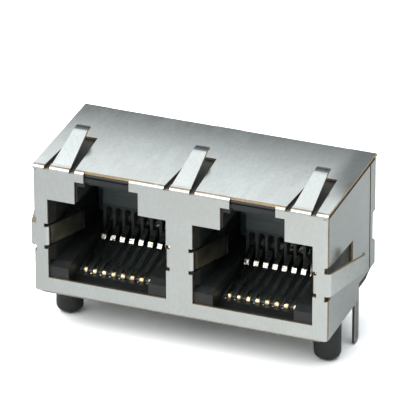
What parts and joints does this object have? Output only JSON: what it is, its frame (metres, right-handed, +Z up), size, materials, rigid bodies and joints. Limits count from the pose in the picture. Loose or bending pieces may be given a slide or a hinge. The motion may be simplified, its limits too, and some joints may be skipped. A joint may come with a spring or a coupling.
{
  "type": "modular jack",
  "caption": "Shielded modular jack with two ports side by side, spring fingers, pegs and solder legs for a circuit board.",
  "frame": {"origin": "on the board's surface, midway between the two locating pegs", "axes": "+X along the row of ports, +Y from the ports' mouths to the rear, +Z up from the board"},
  "size_m": [0.0352, 0.0146, 0.0205],
  "materials": {
    "nickel_sheet": "bright nickel plate with a faint rolled grain, brown raw edges",
    "black_plastic": "fine satin moulding texture",
    "carrier_plastic": "fine satin moulding texture",
    "gold_contact": "thin bright gold plate"
  },
  "bodies": {
    "root": {"shield": "nickel_sheet", "housing": "black_plastic", "contact_carrier_left": "carrier_plastic", "contact_carrier_right": "carrier_plastic", "contact_left_1": "gold_contact", "contact_left_2": "gold_contact", "contact_left_3": "gold_contact", "contact_left_4": "gold_contact", "contact_left_5": "gold_contact", "contact_left_6": "gold_contact", "contact_left_7": "gold_contact", "contact_left_8": "gold_contact", "contact_right_1": "gold_contact", "contact_right_2": "gold_contact", "contact_right_3": "gold_contact", "contact_right_4": "gold_contact", "contact_right_5": "gold_contact", "contact_right_6": "gold_contact", "contact_right_7": "gold_contact", "contact_right_8": "gold_contact"}
  },
  "joints": []
}
